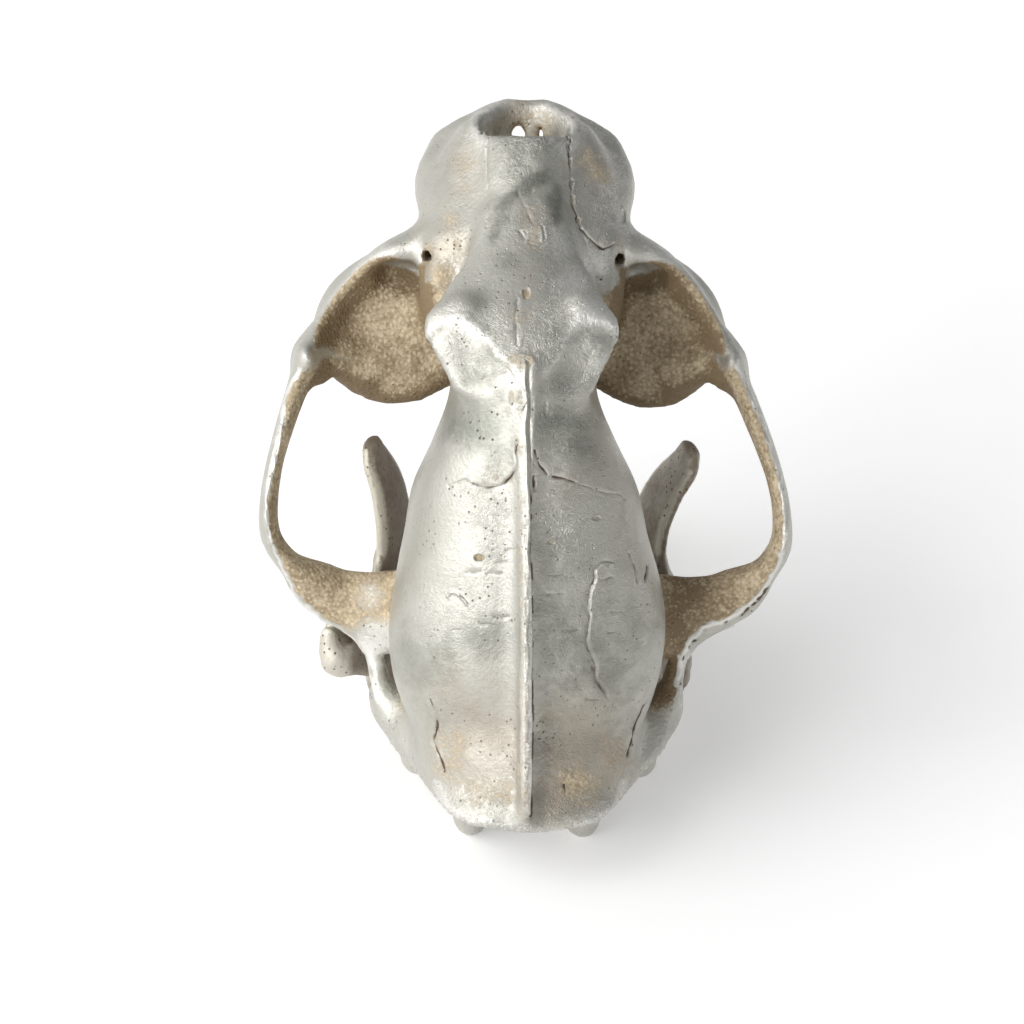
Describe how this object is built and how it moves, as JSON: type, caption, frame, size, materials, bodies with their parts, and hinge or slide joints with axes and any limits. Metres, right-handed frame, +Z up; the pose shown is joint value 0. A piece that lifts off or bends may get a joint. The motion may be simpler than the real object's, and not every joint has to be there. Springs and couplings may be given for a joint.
{
  "type": "leopard skull",
  "caption": "Adult leopard skull with its jaws wide open, silvery weathered bone, standing on its two rear condyles and its chin.",
  "frame": {"origin": "on the floor, under the middle of the whole skull's box", "axes": "+Z up, the top of the head and the crest face -Y, the snout points up, +X is the animal's right side"},
  "size_m": [0.1572, 0.2118, 0.1903],
  "materials": {
    "cranium_bone": "satin",
    "jaw_bone": "satin",
    "enamel": "gloss"
  },
  "bodies": {
    "root": {"cranium": "cranium_bone", "left_mandible": "jaw_bone", "right_mandible": "jaw_bone", "left_upper_incisor_1": "enamel", "left_upper_incisor_2": "enamel", "left_upper_incisor_3": "enamel", "left_upper_canine": "enamel", "left_upper_premolar_2": "enamel", "left_upper_premolar_3": "enamel", "left_upper_carnassial": "enamel", "left_upper_molar": "enamel", "left_lower_incisor_1": "enamel", "left_lower_incisor_2": "enamel", "left_lower_incisor_3": "enamel", "left_lower_canine": "enamel", "left_lower_premolar_3": "enamel", "left_lower_premolar_4": "enamel", "left_lower_carnassial": "enamel", "right_upper_incisor_1": "enamel", "right_upper_incisor_2": "enamel", "right_upper_incisor_3": "enamel", "right_upper_canine": "enamel", "right_upper_premolar_2": "enamel", "right_upper_premolar_3": "enamel", "right_upper_carnassial": "enamel", "right_upper_molar": "enamel", "right_lower_incisor_1": "enamel", "right_lower_incisor_2": "enamel", "right_lower_incisor_3": "enamel", "right_lower_canine": "enamel", "right_lower_premolar_3": "enamel", "right_lower_premolar_4": "enamel", "right_lower_carnassial": "enamel"}
  },
  "joints": []
}
